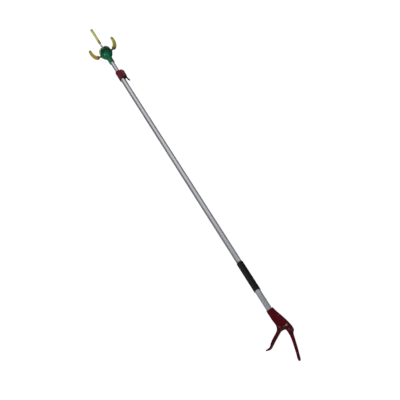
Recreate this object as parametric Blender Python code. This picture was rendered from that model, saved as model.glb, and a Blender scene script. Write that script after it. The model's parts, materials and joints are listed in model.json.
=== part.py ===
"""Telescopic reacher grabber: a long two-stage pole with a three-finger claw and a squeeze trigger.

All shapes are drawn in the pole frame, in millimetres, and scaled to metres when meshed. Its origin
is on the pole's axis, level with the trigger pivot. +X runs along the pole to the claw, +Y points to
the trigger's side and +Z is up as the grabber lies on its side. A finger is drawn once, in the
plane of the pole's axis and its own azimuth, and used at three azimuths.
"""

import math

import bmesh
import bpy
from mathutils import Matrix, Vector

MM = 0.001
GAP = 0.3                   # clearance between neighbouring pieces
ROUND = 32                  # sides of tubes and turned pieces
SMALL_ROUND = 16            # sides of screws, pins and rods

# Poles
OUTER_TUBE_R = 10.0
OUTER_TUBE_BORE_R = 8.8
OUTER_TUBE_START = 42.0
OUTER_TUBE_END = 1352.0
INNER_TUBE_R = 8.2
INNER_TUBE_BORE_R = 7.0
INNER_TUBE_START = 185.0
INNER_TUBE_END = 1478.0

# Handle and trigger
PIVOT_X = -9.0
PIVOT_Y = -21.0
HANDLE_HALF_DEPTH = 13.0
GRIP_HALF_DEPTH = 7.5
SHELL_WALL = 2.5
TRIGGER_HALF_DEPTH = 6.5
TRIGGER_WEB_HALF_DEPTH = 4.0
EYE_R = 6.0
CRANK = 21.0                # from the pivot to the pin that pulls the rod
TRIGGER_TRAVEL = math.radians(19.9)
PIN_R = 1.5
PIN_HOLE_R = PIN_R + GAP

# Pull rod
PULL_TUBE_R = 4.0
PULL_TUBE_BORE_R = 2.5
PULL_TUBE_END = 1300.0
PULL_ROD_R = 2.0
PULL_ROD_START = 210.0
PULL_ROD_END = 1536.0

# Grip sleeve and pole clamp
FOAM_START = 158.5
FOAM_END = 288.0
FOAM_R = 11.8
CLAMP_START = 1330.0
CLAMP_END = 1377.0
CLAMP_R = 12.8
CLAMP_PIVOT_X = 1364.0
CLAMP_PIVOT_Y = -18.0

# Claw
HUB_START = 1441.0
HUB_FLARE_START = 1476.0
HUB_FLARE_END = 1500.0
HUB_FRONT = 1521.0
NECK_R = 11.0
HUB_R = 23.6
HUB_CAVITY_START = 1487.0
HUB_CAVITY_R = 12.5
PAD_R = 24.6
PAD_FRONT = 1540.8
FINGER_PIVOT_X = 1520.0
FINGER_PIVOT_R = 20.0
FINGER_LEVER = 14.0
SLOT_HALF_WIDTH = 5.0
CLEVIS_HALF_WIDTH = 8.4
FINGER_LEAN = math.radians(15.0)
FINGER_AZIMUTHS = {"top": 0.0, "left": -120.0, "right": 120.0}
STRIP_HALF_WIDTH = 3.7
STRIP_HALF_THICK = 1.1
SLEEVE_HALF_WIDTH = 5.5      # across the finger
SLEEVE_BASE_HALF_DEPTH = 8.8  # in the finger's plane, at the base
SLEEVE_TIP_HALF_DEPTH = 5.8

# Lying pose: the handle's bulge and the two lower finger sleeves rest on the ground
BULGE_X = -24.0
FINGER_REST_X = 1588.0
FINGER_REST_DROP = 37.6
LYING_TILT = math.atan((FINGER_REST_DROP - HANDLE_HALF_DEPTH) / (FINGER_REST_X - BULGE_X))


# ---------------------------------------------------------------- mesh helpers

def clear_scene():
    for item in list(bpy.data.objects):
        bpy.data.objects.remove(item)


def arc(centre_x, centre_y, radius, start_deg, end_deg, steps):
    """Points on an arc, both ends included."""
    points = []
    for i in range(steps + 1):
        angle = math.radians(start_deg + (end_deg - start_deg) * i / steps)
        points.append((centre_x + radius * math.cos(angle), centre_y + radius * math.sin(angle)))
    return points


def smooth_line(points, steps):
    """A Catmull-Rom curve through the points, with the given steps in each span."""
    ends = [points[0]] + list(points) + [points[-1]]
    line = []
    for i in range(1, len(ends) - 2):
        p0, p1, p2, p3 = [Vector(ends[i + k]) for k in (-1, 0, 1, 2)]
        for step in range(steps):
            t = step / steps
            line.append(0.5 * (2 * p1 + (p2 - p0) * t + (2 * p0 - 5 * p1 + 4 * p2 - p3) * t ** 2
                               + (3 * p1 - p0 - 3 * p2 + p3) * t ** 3))
    line.append(Vector(points[-1]))
    return [tuple(point) for point in line]


def prism(outline, low, high, bevel_high=0.0, bevel_low=0.0):
    """An XY outline, listed anticlockwise, drawn up from Z low to Z high, its rims bevelled."""
    bm = bmesh.new()
    bottom = bm.faces.new([bm.verts.new((x, y, low)) for x, y in outline])
    bottom.normal_flip()
    side = bmesh.ops.extrude_face_region(bm, geom=[bottom])
    top_verts = [v for v in side["geom"] if isinstance(v, bmesh.types.BMVert)]
    bmesh.ops.translate(bm, verts=top_verts, vec=(0, 0, high - low))
    bmesh.ops.recalc_face_normals(bm, faces=bm.faces[:])
    for level, width in ((high, bevel_high), (low, bevel_low)):
        if width:
            rim = [e for e in bm.edges if all(abs(v.co.z - level) < 1e-4 for v in e.verts)]
            bmesh.ops.bevel(bm, geom=rim, offset=width, segments=2, profile=0.5,
                            affect="EDGES", clamp_overlap=True)
    return bm


def turned(profile, sides=ROUND):
    """A body turned about the X axis from a closed profile of (x, r) points."""
    bm = bmesh.new()
    verts = [bm.verts.new((x, 0, r)) for x, r in profile]
    edges = [bm.edges.new((a, b)) for a, b in zip(verts, verts[1:] + verts[:1])]
    bmesh.ops.spin(bm, geom=verts + edges, axis=(1, 0, 0), cent=(0, 0, 0), steps=sides,
                   angle=math.tau, use_merge=True)
    bmesh.ops.remove_doubles(bm, verts=bm.verts[:], dist=1e-4)
    loose = [e for e in bm.edges if not e.link_faces]
    bmesh.ops.delete(bm, geom=loose, context="EDGES")
    bmesh.ops.recalc_face_normals(bm, faces=bm.faces[:])
    return bm


def ring(start, end, bore, radius, sides=ROUND):
    return turned([(start, bore), (end, bore), (end, radius), (start, radius)], sides)


def bar(start, end, radius, sides=SMALL_ROUND):
    return turned([(start, 0), (end, 0), (end, radius), (start, radius)], sides)


def block(x0, x1, y0, y1, z0, z1, bevel=0.0):
    outline = [(x0, y0), (x1, y0), (x1, y1), (x0, y1)]
    return prism(outline, z0, z1, bevel, bevel)


def along(bm, direction, origin=(0, 0, 0)):
    """Turns a body drawn about +X to lie about another direction, from the given origin."""
    turn = Vector((1, 0, 0)).rotation_difference(Vector(direction)).to_matrix().to_4x4()
    bm.transform(Matrix.Translation(Vector(origin)) @ turn)
    return bm


def upright(bm, x, y):
    """Stands a body drawn about +X on +Z at a place in the XY plane."""
    return along(bm, (0, 0, 1), (x, y, 0))


def stand_plane(bm):
    """Turns a body drawn in XY so that its Y becomes Z: the plane of the top finger."""
    bm.transform(Matrix.Rotation(math.pi / 2, 4, "X"))
    return bm


def face_plane(bm):
    """Turns a body drawn in XY so that its X becomes Y and its Y becomes Z."""
    bm.transform(Matrix.Rotation(math.tau / 3, 4, Vector((1, 1, 1))))
    return bm


def combine(base, tool, operation):
    """Boolean of two meshes with the EXACT solver. Both are used up; the result is returned."""
    holders = []
    for bm in (base, tool):
        mesh = bpy.data.meshes.new("boolean_input")
        bm.to_mesh(mesh)
        bm.free()
        holder = bpy.data.objects.new("boolean_input", mesh)
        bpy.context.scene.collection.objects.link(holder)
        holders.append(holder)
    modifier = holders[0].modifiers.new("combine", "BOOLEAN")
    modifier.operation = operation
    modifier.solver = "EXACT"
    modifier.object = holders[1]
    shaped = holders[0].evaluated_get(bpy.context.evaluated_depsgraph_get())
    result = bmesh.new()
    result.from_mesh(shaped.to_mesh())
    shaped.to_mesh_clear()
    for holder in holders:
        mesh = holder.data
        bpy.data.objects.remove(holder)
        bpy.data.meshes.remove(mesh)
    bmesh.ops.remove_doubles(result, verts=result.verts[:], dist=1e-4)
    bmesh.ops.dissolve_degenerate(result, edges=result.edges[:], dist=1e-4)
    return result


def cut(base, *tools):
    for tool in tools:
        base = combine(base, tool, "DIFFERENCE")
    return base


def join(base, *tools):
    for tool in tools:
        base = combine(base, tool, "UNION")
    return base


def coil(start, end, mean_r, wire_r, turns, steps=11, sides=5):
    """A round-wire helical spring about the X axis, closed at both ends."""
    bm = bmesh.new()
    rings = []
    count = turns * steps
    for i in range(count + 1):
        angle = math.tau * i / steps
        x = start + (end - start) * i / count
        outward = Vector((0, math.cos(angle), math.sin(angle)))
        wire = []
        for k in range(sides):
            turn = math.tau * k / sides
            offset = outward * math.cos(turn) * wire_r + Vector((math.sin(turn) * wire_r, 0, 0))
            wire.append(bm.verts.new(Vector((x, 0, 0)) + outward * mean_r + offset))
        rings.append(wire)
    skin(bm, rings)
    return bm


def skin(bm, rings):
    """Joins equal rings of vertices into a closed tube with flat ends."""
    for a, b in zip(rings, rings[1:]):
        for k in range(len(a)):
            bm.faces.new((a[k], a[k - 1], b[k - 1], b[k]))
    bm.faces.new(rings[0])
    bm.faces.new(rings[-1])
    bmesh.ops.recalc_face_normals(bm, faces=bm.faces[:])


def swept(path, section):
    """Sweeps a section along a path in the XZ plane. section(i) gives points (across, sideways)."""
    bm = bmesh.new()
    rings = []
    for i, (x, z) in enumerate(path):
        before = Vector(path[max(i - 1, 0)])
        after = Vector(path[min(i + 1, len(path) - 1)])
        heading = (after - before).normalized()
        across = Vector((-heading.y, 0, heading.x))
        place = Vector((x, 0, z))
        rings.append([bm.verts.new(place + across * u + Vector((0, v, 0))) for u, v in section(i)])
    skin(bm, rings)
    return bm


# ---------------------------------------------------------------- scene helpers

def make_material(name, colour, roughness, metallic=0.0):
    material = bpy.data.materials.new(name)
    material.use_nodes = True
    shader = material.node_tree.nodes["Principled BSDF"]
    shader.inputs["Base Color"].default_value = (*colour, 1.0)
    shader.inputs["Roughness"].default_value = roughness
    shader.inputs["Metallic"].default_value = metallic
    material.diffuse_color = (*colour, 1.0)
    return material


def add_joint(name, parent, x, y=0.0, z=0.0, azimuth=0.0):
    """An empty on a joint's axis, placed in its parent's frame."""
    empty = bpy.data.objects.new(name, None)
    bpy.context.scene.collection.objects.link(empty)
    empty.empty_display_size = 0.02
    empty.parent = parent
    empty.location = Vector((x, y, z)) * MM
    empty.rotation_euler = (azimuth, 0, 0)
    return empty


def add_piece(name, bm, material, parent, origin=(0, 0, 0), smooth_deg=35.0):
    """Makes an object of a mesh drawn in millimetres, with its own origin on its parent's."""
    bm.transform(Matrix.Translation(-Vector(origin)))
    bm.transform(Matrix.Scale(MM, 4))
    mesh = bpy.data.meshes.new(name)
    bm.to_mesh(mesh)
    bm.free()
    mesh.shade_smooth()
    mesh.set_sharp_from_angle(angle=math.radians(smooth_deg))
    mesh.materials.append(material)
    piece = bpy.data.objects.new(name, mesh)
    bpy.context.scene.collection.objects.link(piece)
    piece.parent = parent
    return piece


# ---------------------------------------------------------------- handle

GRIP_FRONT = [(-15.4, -9.6), (-24.0, -10.8), (-36.0, -10.6), (-50.0, -9.2), (-64.0, -6.8),
              (-80.0, -3.2), (-96.0, 0.6), (-112.0, 4.8)]
GRIP_TIP = [(-124.0, 8.4), (-130.0, 8.8), (-133.0, 6.4), (-132.0, 2.8), (-128.0, 0.0)]
GRIP_BACK = [(-118.0, -3.0), (-107.0, -6.3), (-92.0, -10.6), (-76.0, -14.8), (-60.0, -18.9),
             (-46.0, -22.6)]
BULGE = [(-37.0, -25.0), (-33.4, -26.4), (-30.0, -30.2), (-26.0, -32.4), (-20.0, -33.0), (-8.0, -31.4)]
HANDLE_BACK = [(11.0, -28.0), (30.0, -23.2), (50.0, -17.8), (64.0, -14.6), (72.0, -13.4)]
HANDLE_FRONT = [(72.0, 11.8), (46.0, 11.8), (32.0, 11.0), (17.4, 9.4), (6.0, 9.2), (-2.0, 6.8),
                (-7.6, 1.4), (-9.6, -5.0), (-11.6, -9.0)]


def body_outline():
    """The deep part of the handle: tube socket, trigger housing and the bulge behind it."""
    return HANDLE_BACK + HANDLE_FRONT + GRIP_FRONT[:3] + BULGE


def grip_outline():
    """The slimmer grip that the palm rests on, running on into the body."""
    inside = [(-36.0, -24.0), (-28.0, -24.0), (-22.0, -16.0)]
    return [(-22.0, -11.0)] + GRIP_FRONT[2:] + GRIP_TIP + GRIP_BACK + inside


def handle_half(side):
    """One half of the handle, above (+1) or below (-1) the split plane."""
    half = join(prism(body_outline(), GAP / 2, HANDLE_HALF_DEPTH, bevel_high=3.4),
                prism(grip_outline(), GAP / 2, GRIP_HALF_DEPTH, bevel_high=3.0))
    lip_x = 17.6
    chamber = prism([(41.5, 10.2), (lip_x, 7.2), (lip_x, 30), (-25, 30), (-16.4, -8), (-15.8, -13.5),
                     (-15.8, -28.4), (-8, -28.2), (10, -25.2), (29, -20.4), (41.5, -17)],
                    -5, HANDLE_HALF_DEPTH - SHELL_WALL - GAP)
    grip_pocket = prism([(-46, -12.2), (-64, -9.4), (-90, -3.4), (-98, -1.6), (-98, -5.8), (-76, -11.8),
                         (-46, -19.6)], -5, GRIP_HALF_DEPTH - SHELL_WALL)
    socket = bar(OUTER_TUBE_START - 8, 90, OUTER_TUBE_R + GAP, ROUND)
    half = cut(half, chamber, grip_pocket, socket)
    half = join(half, upright(bar(GAP / 2, 11.5, 3.6), *FRONT_SCREW))
    if side > 0:
        for x, y, depth in SCREWS:
            half = cut(half, upright(bar(-1, 30, 1.8), x, y), upright(bar(depth - 2.8, 30, 3.8), x, y))
        half = cut(half, upright(bar(-1, 30, 2.8), PIVOT_X, PIVOT_Y),
                   upright(bar(11.6, 30, 5.4, 24), PIVOT_X, PIVOT_Y))
    else:
        for x, y, depth in SCREWS:
            half = cut(half, upright(bar(-1, depth - 2.5, 1.8), x, y))
        nut_pocket = bar(10.9, 30, 5.4, 6)
        half = cut(half, upright(bar(-1, 30, 2.8), PIVOT_X, PIVOT_Y),
                   upright(nut_pocket, PIVOT_X, PIVOT_Y))
        half.transform(Matrix.Scale(-1, 4, (0, 0, 1)))
        bmesh.ops.reverse_faces(half, faces=half.faces[:])
    return half


FRONT_SCREW = (37.0, -15.4)
SCREWS = [(*FRONT_SCREW, HANDLE_HALF_DEPTH), (-24.0, -21.5, HANDLE_HALF_DEPTH),
          (-110.0, -0.4, GRIP_HALF_DEPTH)]
SCREW_NAMES = ["handle_screw_front", "handle_screw_middle", "handle_screw_rear"]


def pan_screw(head_top, head_r, head_height, shank_r, tip):
    """A screw about +X with its head's top at head_top and its tip at tip, with a cross recess."""
    under = head_top - head_height
    screw = turned([(tip, 0), (head_top, 0), (head_top, head_r * 0.55), (head_top - 0.5, head_r * 0.85),
                    (head_top - 1.1, head_r), (under, head_r), (under, shank_r), (tip, shank_r)],
                   SMALL_ROUND)
    for width, length in ((0.5, head_r * 0.55), (head_r * 0.55, 0.5)):
        screw = cut(screw, block(head_top - 0.9, head_top + 1, -width, width, -length, length))
    return screw


def build_handle(pole, maroon, steel, tan_metal):
    add_piece("handle_shell_upper", handle_half(1), maroon, pole)
    add_piece("handle_shell_lower", handle_half(-1), maroon, pole)
    for name, (x, y, depth) in zip(SCREW_NAMES, SCREWS):
        screw = pan_screw(depth - 0.4, 3.4, 2.1, PIN_R, -(depth - 4.0))
        add_piece(name, upright(screw, x, y), steel, pole)
    bolt = turned([(-12.4, 0), (13.6, 0), (13.6, 2.6), (13.2, 4.2), (12.4, 5.0), (11.9, 5.0), (11.9, 2.5),
                   (-12.4, 2.5)], SMALL_ROUND + 8)
    bolt = cut(bolt, block(12.8, 15, -0.6, 0.6, -6, 6))
    add_piece("trigger_pivot_bolt", upright(bolt, PIVOT_X, PIVOT_Y), tan_metal, pole)
    nut = cut(bar(-13.3, -11.2, 4.9, 6), bar(-20, 20, 2.8))
    add_piece("trigger_pivot_nut", upright(nut, PIVOT_X, PIVOT_Y), steel, pole)


# ---------------------------------------------------------------- trigger

def crank_pin():
    """The crank pin leans half the travel forward, so the rod's pull is nearly straight."""
    lean = TRIGGER_TRAVEL / 2
    return PIVOT_X + CRANK * math.sin(lean), PIVOT_Y + CRANK * math.cos(lean)


def trigger_outline():
    lobe = [(17.2, 6.7), (17.2, 9.4), (6.4, 11.2)]
    outer = [(-1.4, 14.4), (-8.6, 21.2), (-14.0, 29.6), (-19.8, 39.0), (-26.4, 48.6), (-32.6, 55.6),
             (-38.0, 60.4), (-41.2, 65.4), (-41.6, 72.0), (-41.0, 79.6)]
    inner = [(-42.8, 79.4), (-44.8, 72.4), (-46.0, 66.4), (-45.4, 61.2), (-42.9, 56.0), (-39.0, 50.4),
             (-34.6, 43.6), (-28.2, 33.8), (-22.6, 24.6), (-18.4, 17.6), (-13.4, 8.4), (-10.0, 0.7),
             (-10.4, -9.0)]
    eye = arc(PIVOT_X, PIVOT_Y, EYE_R, 165, 350, 12)
    horn = [(-1.5, -13.0), (2.6, -5.0), (2.6, 6.7)]
    return lobe + outer + inner + eye + horn


def build_trigger(pole, maroon, steel):
    joint = add_joint("trigger_joint", pole, PIVOT_X, PIVOT_Y)
    pivot = (PIVOT_X, PIVOT_Y, 0)
    pin_x, pin_y = crank_pin()
    body = join(prism(trigger_outline(), -TRIGGER_HALF_DEPTH, TRIGGER_HALF_DEPTH, 1.8, 1.8),
                upright(bar(-9.8, 9.8, EYE_R, 24), PIVOT_X, PIVOT_Y))
    fork_outline = arc(pin_x, pin_y, 8.4, 90, 250, 10) + [(3.0, -11.0), (22.0, -14.0), (22.0, 6.4)]
    for low, high in ((TRIGGER_WEB_HALF_DEPTH, 20), (-20, -TRIGGER_WEB_HALF_DEPTH)):
        body = cut(body, prism(fork_outline, low, high))
    for turn in (0, math.pi):
        slope = face_plane(prism([(56, 6.7), (84, 2.2), (84, 10), (56, 10)], -60, 60))
        slope.transform(Matrix.Rotation(turn, 4, "Y"))
        body = cut(body, slope)
    body = cut(body, upright(bar(-20, 20, 2.5 + GAP, 24), PIVOT_X, PIVOT_Y),
               upright(bar(-20, 20, PIN_HOLE_R), pin_x, pin_y))
    add_piece("trigger", body, maroon, joint, pivot)
    add_piece("clevis_pin", upright(bar(-8.6, 8.6, PIN_R), pin_x, pin_y), steel, joint, pivot)


# ---------------------------------------------------------------- pull rod

def build_pull_tube(pole, aluminium, steel, plastic):
    """The rod's lower stage, worked by the trigger."""
    joint = add_joint("rod_joint", pole, 0)
    pin_x, _ = crank_pin()
    bridge_start = pin_x + 9.6
    bridge_end = bridge_start + 13.0
    clevis = join(block(bridge_start, bridge_end, -5.6, 5.6, -7.2, 7.2, 1.0),
                  block(pin_x - 5.2, bridge_start + 3, -5.6, 5.6, 4.4, 7.2, 0.6),
                  block(pin_x - 5.2, bridge_start + 3, -5.6, 5.6, -7.2, -4.4, 0.6))
    slot = (arc(pin_x, 0.6, PIN_HOLE_R, 0, 180, 8) + arc(pin_x, -0.6, PIN_HOLE_R, 180, 360, 8))
    clevis = cut(clevis, prism(slot, -10, 10), bar(bridge_start + 3.5, bridge_end + 5, 4.3))
    add_piece("rod_clevis", clevis, steel, joint)
    add_piece("lower_pull_tube", ring(bridge_start + 4, PULL_TUBE_END, PULL_TUBE_BORE_R, PULL_TUBE_R, 24),
              aluminium, joint)
    collar_start = OUTER_TUBE_START + 53
    add_piece("rod_collar", ring(collar_start, collar_start + 6, PULL_TUBE_R + GAP, 7.6), steel, joint)
    collet = turned([(PULL_TUBE_END - 12, PULL_TUBE_R + GAP), (PULL_TUBE_END + 0.4, PULL_TUBE_R + GAP),
                     (PULL_TUBE_END + 0.4, PULL_ROD_R + GAP), (PULL_TUBE_END + 14, PULL_ROD_R + GAP),
                     (PULL_TUBE_END + 14, 4.4), (PULL_TUBE_END + 4, 6.0), (PULL_TUBE_END - 12, 6.0)], 24)
    for turn in range(2):
        slit = block(PULL_TUBE_END + 3, PULL_TUBE_END + 20, -0.4, 0.4, -10, 10)
        slit.transform(Matrix.Rotation(turn * math.pi / 2, 4, "X"))
        collet = cut(collet, slit)
    add_piece("rod_lock_collet", collet, plastic, joint)


# ---------------------------------------------------------------- outer pole

def build_outer_pole(pole, aluminium, steel, plastic, foam):
    add_piece("outer_tube", ring(OUTER_TUBE_START, OUTER_TUBE_END, OUTER_TUBE_BORE_R, OUTER_TUBE_R),
              aluminium, pole)
    plug_bore = PULL_TUBE_R + GAP
    start = OUTER_TUBE_START
    plug = turned([(start - 4, plug_bore), (start + 12, plug_bore), (start + 12, OUTER_TUBE_BORE_R - GAP),
                   (start - GAP, OUTER_TUBE_BORE_R - GAP), (start - GAP, OUTER_TUBE_R),
                   (start - 4, OUTER_TUBE_R)])
    add_piece("tube_end_plug", plug, plastic, pole)
    add_piece("return_spring", coil(start + 13.2, start + 52.0, 6.3, 0.7, 8), steel, pole)
    edge = 1.2
    sleeve = turned([(FOAM_START, OUTER_TUBE_R + GAP), (FOAM_END, OUTER_TUBE_R + GAP),
                     (FOAM_END, FOAM_R - edge), (FOAM_END - edge, FOAM_R), (FOAM_START + edge, FOAM_R),
                     (FOAM_START, FOAM_R - edge)])
    add_piece("foam_grip", sleeve, foam, pole)


# ---------------------------------------------------------------- pole clamp

def clamp_boss_outline():
    return [(CLAMP_START, -6.0), (CLAMP_START, -16.8), (1333.5, -19.6), (1340.0, -21.8), (1348.0, -22.8),
            (1359.0, -22.8), (1367.5, -21.2), (1373.5, -17.6), (CLAMP_END - 1.0, -12.0),
            (CLAMP_END - 1.0, -6.0)]


def build_clamp(pole, red, black, steel):
    front_lip = 2.5
    barrel = turned([(CLAMP_START, 0), (CLAMP_END, 0), (CLAMP_END, CLAMP_R - front_lip),
                     (CLAMP_END - front_lip, CLAMP_R), (CLAMP_START, CLAMP_R)])
    body = join(barrel, prism(clamp_boss_outline(), -9.4, 9.4, 2.4, 2.4))
    body = cut(body,
               bar(CLAMP_START - 5, OUTER_TUBE_END + 1, OUTER_TUBE_R + GAP, ROUND),
               bar(OUTER_TUBE_END - 5, CLAMP_END + 5, INNER_TUBE_R + 0.5, ROUND),
               block(CLAMP_START - 5, CLAMP_PIVOT_X + 10, -40, -12.1, -4.3, 4.3),
               block(CLAMP_PIVOT_X - 7.4, CLAMP_PIVOT_X + 8.4, -14, -4, -4.3, 4.3),
               upright(bar(-20, 20, PIN_HOLE_R), CLAMP_PIVOT_X, CLAMP_PIVOT_Y))
    add_piece("clamp_body", body, red, pole)
    collar_end = CLAMP_START - GAP
    collar = turned([(collar_end - 5.2, OUTER_TUBE_R + GAP), (collar_end, OUTER_TUBE_R + GAP),
                     (collar_end, 12.6), (collar_end - 4.0, 12.6), (collar_end - 5.2, 11.6)])
    add_piece("clamp_collar", collar, black, pole)
    shoe = cut(block(CLAMP_PIVOT_X - 7, CLAMP_PIVOT_X + 8, -11.8, -5, -4, 4),
               bar(CLAMP_PIVOT_X - 20, CLAMP_PIVOT_X + 20, INNER_TUBE_R + GAP, ROUND))
    add_piece("clamp_shoe", shoe, black, pole)
    add_piece("clamp_lever_pin", upright(bar(-9.2, 9.2, PIN_R), CLAMP_PIVOT_X, CLAMP_PIVOT_Y), steel, pole)

    joint = add_joint("clamp_lever_joint", pole, CLAMP_PIVOT_X, CLAMP_PIVOT_Y)
    cam = arc(CLAMP_PIVOT_X, CLAMP_PIVOT_Y, 5.6, 60, -120, 10)
    arm = [(1352.0, -22.2), (1336.0, -21.0), (1325.0, -20.6), (1313.0, -22.0), (1305.0, -24.0),
           (1302.8, -22.0), (1306.4, -18.6), (1314.0, -16.4), (1325.0, -15.6), (1342.0, -15.6),
           (1357.0, -14.4)]
    lever = cut(prism((cam + arm)[::-1], -4.0, 4.0, 0.8, 0.8),
                upright(bar(-20, 20, PIN_HOLE_R), CLAMP_PIVOT_X, CLAMP_PIVOT_Y))
    add_piece("clamp_lever", lever, black, joint, (CLAMP_PIVOT_X, CLAMP_PIVOT_Y, 0))


# ---------------------------------------------------------------- inner pole and hub

def hub_rib():
    """A rib that grows out of the neck and ends as the finger's clevis, before its slot is cut."""
    x, r = FINGER_PIVOT_X, FINGER_PIVOT_R
    outline = [(1470, 9), (x + 0.6, 9), (x + 0.6, r - 5.4), (x + 5.4, r - 5.4), (x + 5.4, r + 3.6),
               (x + 3.8, r + 7), (x + 0.6, r + 8.4), (x - 5, r + 8.2), (x - 13, r + 6.4),
               (x - 23, r + 2), (x - 32, r - 4), (1480, 13.2), (1470, 10.6)]
    rib = stand_plane(prism(outline, -CLEVIS_HALF_WIDTH, CLEVIS_HALF_WIDTH, 1.2, 1.2))
    envelope = turned([(1466, 0), (1540, 0), (1540, 32), (1512, 32), (1500, 26.6), (1488, 19.8),
                       (1478, 13.4), (1466, 10)], 36)
    return combine(rib, envelope, "INTERSECT")


def hub_body():
    flare = []
    for i in range(7):
        t = i / 6
        swell = 0.5 - 0.5 * math.cos(math.pi * t)
        flare.append((HUB_FLARE_START + (HUB_FLARE_END - HUB_FLARE_START) * t,
                      NECK_R + (HUB_R - NECK_R) * swell))
    shell = turned([(HUB_FRONT, 0), (HUB_FRONT, HUB_R - 1.5), (HUB_FRONT - 1.5, HUB_R)]
                   + flare[::-1] + [(HUB_START + 1, NECK_R), (HUB_START, NECK_R - 1), (HUB_START, 0)], 36)
    for azimuth in FINGER_AZIMUTHS.values():
        rib = hub_rib()
        rib.transform(Matrix.Rotation(math.radians(azimuth), 4, "X"))
        shell = join(shell, rib)
    shell = cut(shell,
                bar(HUB_START - 5, INNER_TUBE_END + 1, INNER_TUBE_R + GAP, ROUND),
                bar(INNER_TUBE_END - 5, HUB_CAVITY_START + 2, PULL_ROD_R + 0.5),
                bar(HUB_CAVITY_START, HUB_FRONT + 10, HUB_CAVITY_R, ROUND))
    for azimuth in FINGER_AZIMUTHS.values():
        slot = block(FINGER_PIVOT_X - 6.5, HUB_FRONT + 10, -SLOT_HALF_WIDTH, SLOT_HALF_WIDTH, 8, 40)
        pin_hole = along(bar(-20, 20, PIN_HOLE_R), (0, 1, 0), (FINGER_PIVOT_X, 0, FINGER_PIVOT_R))
        for tool in (slot, pin_hole):
            tool.transform(Matrix.Rotation(math.radians(azimuth), 4, "X"))
        hollow = stand_plane(prism([(1503, 17), (1535, 17), (1535, 40), (1503, 40)], -6, 6))
        hollow.transform(Matrix.Rotation(math.radians(azimuth) + math.pi / 3, 4, "X"))
        shell = cut(shell, pin_hole, slot, hollow)
    bore = along(bar(0, 30, 1.6), (0, 0, -1), (HUB_SCREW_X, 0, 0))
    return cut(shell, bore)


HUB_SCREW_X = 1449.0


def build_inner_pole(pole, aluminium, steel, plastic, green, olive):
    joint = add_joint("telescope_joint", pole, 0)
    tube = ring(INNER_TUBE_START, INNER_TUBE_END, INNER_TUBE_BORE_R, INNER_TUBE_R)
    tube = cut(tube, along(bar(3, 30, 1.6), (0, 0, -1), (HUB_SCREW_X, 0, 0)))
    add_piece("inner_tube", tube, aluminium, joint)
    bore = PULL_TUBE_R + 0.5
    guide = turned([(178, bore), (200, bore), (200, INNER_TUBE_BORE_R - GAP),
                    (184.7, INNER_TUBE_BORE_R - GAP), (184.7, OUTER_TUBE_BORE_R - GAP),
                    (178, OUTER_TUBE_BORE_R - GAP)])
    add_piece("inner_tube_guide", guide, plastic, joint)
    add_piece("rod_guide", ring(1457, 1476, PULL_ROD_R + GAP, INNER_TUBE_BORE_R - GAP, 24), plastic, joint)
    add_piece("hub", hub_body(), green, joint, smooth_deg=40)
    screw = pan_screw(13.0, 2.6, 1.7, 1.25, 7.2)
    add_piece("hub_screw", along(screw, (0, 0, -1), (HUB_SCREW_X, 0, 0)), steel, joint)
    add_piece("claw_spring", coil(HUB_CAVITY_START + 1.2, 1515.1, 6.4, 0.8, 5), steel, joint)

    face = HUB_FRONT + 0.4
    pad = turned([(PULL_ROD_END + 0.6, 0), (PAD_FRONT, 0), (PAD_FRONT - 1.2, 8), (PAD_FRONT - 4.6, 16),
                  (PAD_FRONT - 9, 22), (face + 6.6, PAD_R), (face + 1, PAD_R), (face, PAD_R - 1),
                  (face, 12.4), (PULL_ROD_END - 2.4, 12.4), (PULL_ROD_END + 0.6, 9)], 36)
    for azimuth in FINGER_AZIMUTHS.values():
        notch = block(face - 5, PAD_FRONT + 5, -8.8, 8.8, 14, 40)
        lever_slot = block(face - 5, face + 7, -3.4, 3.4, 8, 20)
        for tool in (notch, lever_slot):
            tool.transform(Matrix.Rotation(math.radians(azimuth), 4, "X"))
        pad = cut(pad, notch, lever_slot)
    add_piece("palm_pad", pad, olive, joint)
    return joint


def build_plunger(telescope, steel, plastic):
    """The rod's upper stage and the plunger that swings the fingers."""
    joint = add_joint("plunger_joint", telescope, 0)
    add_piece("upper_pull_rod", bar(PULL_ROD_START, PULL_ROD_END, PULL_ROD_R), steel, joint)
    bore = PULL_ROD_R + GAP
    plunger = turned([(1516.2, bore), (1529.6, bore), (1529.6, 9.4), (1526.5, 9.4), (1526.5, 3.2),
                      (1520.7, 3.2), (1520.7, 9.4), (1516.2, 9.4)], 20)
    add_piece("plunger", plunger, plastic, joint)
    nut = cut(bar(1530.0, 1533.2, 4.0, 6), bar(1520, 1540, bore))
    add_piece("plunger_nut", nut, steel, joint)


# ---------------------------------------------------------------- fingers

FINGER_LINE = [(1.0, 2.5), (4.8, 9.5), (10.2, 18.0), (18.0, 26.0), (28.5, 32.6), (41.0, 37.8), (57.0, 41.8),
               (73.0, 43.2), (85.5, 42.6)]
FINGER_STEPS = 3            # steps in each span of the smoothed line
SLEEVE_FROM = 7             # point of the smoothed line where the sleeve starts


def finger_path():
    """The strip's centreline from the pivot, in its own plane, smoothed."""
    return smooth_line(FINGER_LINE, FINGER_STEPS)


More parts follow.
